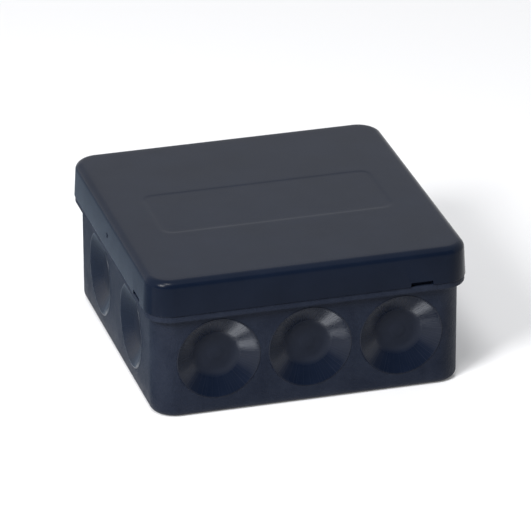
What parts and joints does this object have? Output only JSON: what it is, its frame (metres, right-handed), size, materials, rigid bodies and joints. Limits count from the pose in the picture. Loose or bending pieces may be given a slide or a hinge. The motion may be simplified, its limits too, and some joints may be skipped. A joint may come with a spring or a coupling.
{
  "type": "surface-mount junction box",
  "caption": "Square black plastic surface-mount junction box with an overlapping lift-off lid, dished soft cable-entry membranes and a screw terminal block inside.",
  "frame": {"origin": "middle of the base underside, on the wall face", "axes": "+Z from the wall towards the lid, -Y towards the front face with three cable entries, -X towards the left face with two"},
  "size_m": [0.086, 0.086, 0.039],
  "materials": {
    "box_plastic": "fine spark-eroded grain",
    "lid_plastic": "satin moulded, slightly glossier than the base",
    "membrane_rubber": "smooth soft elastomer",
    "seal_rubber": "soft foam rubber",
    "terminal_plastic": "light grey moulded",
    "zinc_steel": "zinc plated",
    "brass": "rolled strip"
  },
  "bodies": {
    "base": {"base_shell": "box_plastic", "entry_front_left": "membrane_rubber", "entry_front_middle": "membrane_rubber", "entry_front_right": "membrane_rubber", "entry_back_left": "membrane_rubber", "entry_back_middle": "membrane_rubber", "entry_back_right": "membrane_rubber", "entry_left_front": "membrane_rubber", "entry_left_back": "membrane_rubber", "entry_right_front": "membrane_rubber", "entry_right_back": "membrane_rubber", "terminal_foot": "terminal_plastic", "terminal_housing": "terminal_plastic", "terminal_cover": "terminal_plastic", "terminal_fixing_screws": "zinc_steel", "contact_bar_1": "brass", "contact_bar_2": "brass", "contact_bar_3": "brass", "contact_bar_4": "brass", "contact_bar_5": "brass"},
    "lid": {"lid": "lid_plastic", "lid_gasket": "seal_rubber"},
    "screw_front_1": {"screw_front_1": "zinc_steel"},
    "cage_front_1": {"cage_front_1": "zinc_steel"},
    "screw_front_2": {"screw_front_2": "zinc_steel"},
    "cage_front_2": {"cage_front_2": "zinc_steel"},
    "screw_front_3": {"screw_front_3": "zinc_steel"},
    "cage_front_3": {"cage_front_3": "zinc_steel"},
    "screw_front_4": {"screw_front_4": "zinc_steel"},
    "cage_front_4": {"cage_front_4": "zinc_steel"},
    "screw_front_5": {"screw_front_5": "zinc_steel"},
    "cage_front_5": {"cage_front_5": "zinc_steel"},
    "screw_back_1": {"screw_back_1": "zinc_steel"},
    "cage_back_1": {"cage_back_1": "zinc_steel"},
    "screw_back_2": {"screw_back_2": "zinc_steel"},
    "cage_back_2": {"cage_back_2": "zinc_steel"},
    "screw_back_3": {"screw_back_3": "zinc_steel"},
    "cage_back_3": {"cage_back_3": "zinc_steel"},
    "screw_back_4": {"screw_back_4": "zinc_steel"},
    "cage_back_4": {"cage_back_4": "zinc_steel"},
    "screw_back_5": {"screw_back_5": "zinc_steel"},
    "cage_back_5": {"cage_back_5": "zinc_steel"}
  },
  "joints": [
    {"name": "lid_lift", "type": "slide", "parent": "base", "child": "lid", "axis": [0, 0, 1], "range_m": [0, 0.06]},
    {"name": "screw_front_1_turn", "type": "hinge", "parent": "base", "child": "screw_front_1", "pos_m": [-0.016, -0.0065, 0.016], "axis": [0, 0, -1], "range_deg": [0, 2160]},
    {"name": "cage_front_1_rise", "type": "slide", "parent": "base", "child": "cage_front_1", "axis": [0, 0, 1], "range_m": [0, 0.003]},
    {"name": "screw_front_2_turn", "type": "hinge", "parent": "base", "child": "screw_front_2", "pos_m": [-0.008, -0.0065, 0.016], "axis": [0, 0, -1], "range_deg": [0, 2160]},
    {"name": "cage_front_2_rise", "type": "slide", "parent": "base", "child": "cage_front_2", "axis": [0, 0, 1], "range_m": [0, 0.003]},
    {"name": "screw_front_3_turn", "type": "hinge", "parent": "base", "child": "screw_front_3", "pos_m": [0, -0.0065, 0.016], "axis": [0, 0, -1], "range_deg": [0, 2160]},
    {"name": "cage_front_3_rise", "type": "slide", "parent": "base", "child": "cage_front_3", "axis": [0, 0, 1], "range_m": [0, 0.003]},
    {"name": "screw_front_4_turn", "type": "hinge", "parent": "base", "child": "screw_front_4", "pos_m": [0.008, -0.0065, 0.016], "axis": [0, 0, -1], "range_deg": [0, 2160]},
    {"name": "cage_front_4_rise", "type": "slide", "parent": "base", "child": "cage_front_4", "axis": [0, 0, 1], "range_m": [0, 0.003]},
    {"name": "screw_front_5_turn", "type": "hinge", "parent": "base", "child": "screw_front_5", "pos_m": [0.016, -0.0065, 0.016], "axis": [0, 0, -1], "range_deg": [0, 2160]},
    {"name": "cage_front_5_rise", "type": "slide", "parent": "base", "child": "cage_front_5", "axis": [0, 0, 1], "range_m": [0, 0.003]},
    {"name": "screw_back_1_turn", "type": "hinge", "parent": "base", "child": "screw_back_1", "pos_m": [-0.016, 0.0065, 0.016], "axis": [0, 0, -1], "range_deg": [0, 2160]},
    {"name": "cage_back_1_rise", "type": "slide", "parent": "base", "child": "cage_back_1", "axis": [0, 0, 1], "range_m": [0, 0.003]},
    {"name": "screw_back_2_turn", "type": "hinge", "parent": "base", "child": "screw_back_2", "pos_m": [-0.008, 0.0065, 0.016], "axis": [0, 0, -1], "range_deg": [0, 2160]},
    {"name": "cage_back_2_rise", "type": "slide", "parent": "base", "child": "cage_back_2", "axis": [0, 0, 1], "range_m": [0, 0.003]},
    {"name": "screw_back_3_turn", "type": "hinge", "parent": "base", "child": "screw_back_3", "pos_m": [0, 0.0065, 0.016], "axis": [0, 0, -1], "range_deg": [0, 2160]},
    {"name": "cage_back_3_rise", "type": "slide", "parent": "base", "child": "cage_back_3", "axis": [0, 0, 1], "range_m": [0, 0.003]},
    {"name": "screw_back_4_turn", "type": "hinge", "parent": "base", "child": "screw_back_4", "pos_m": [0.008, 0.0065, 0.016], "axis": [0, 0, -1], "range_deg": [0, 2160]},
    {"name": "cage_back_4_rise", "type": "slide", "parent": "base", "child": "cage_back_4", "axis": [0, 0, 1], "range_m": [0, 0.003]},
    {"name": "screw_back_5_turn", "type": "hinge", "parent": "base", "child": "screw_back_5", "pos_m": [0.016, 0.0065, 0.016], "axis": [0, 0, -1], "range_deg": [0, 2160]},
    {"name": "cage_back_5_rise", "type": "slide", "parent": "base", "child": "cage_back_5", "axis": [0, 0, 1], "range_m": [0, 0.003]}
  ],
  "couplings": [
    {"joint": "screw_front_1_turn", "follows": "cage_front_1_rise", "rad_per_m": 12566},
    {"joint": "screw_front_2_turn", "follows": "cage_front_2_rise", "rad_per_m": 12566},
    {"joint": "screw_front_3_turn", "follows": "cage_front_3_rise", "rad_per_m": 12566},
    {"joint": "screw_front_4_turn", "follows": "cage_front_4_rise", "rad_per_m": 12566},
    {"joint": "screw_front_5_turn", "follows": "cage_front_5_rise", "rad_per_m": 12566},
    {"joint": "screw_back_1_turn", "follows": "cage_back_1_rise", "rad_per_m": 12566},
    {"joint": "screw_back_2_turn", "follows": "cage_back_2_rise", "rad_per_m": 12566},
    {"joint": "screw_back_3_turn", "follows": "cage_back_3_rise", "rad_per_m": 12566},
    {"joint": "screw_back_4_turn", "follows": "cage_back_4_rise", "rad_per_m": 12566},
    {"joint": "screw_back_5_turn", "follows": "cage_back_5_rise", "rad_per_m": 12566}
  ]
}
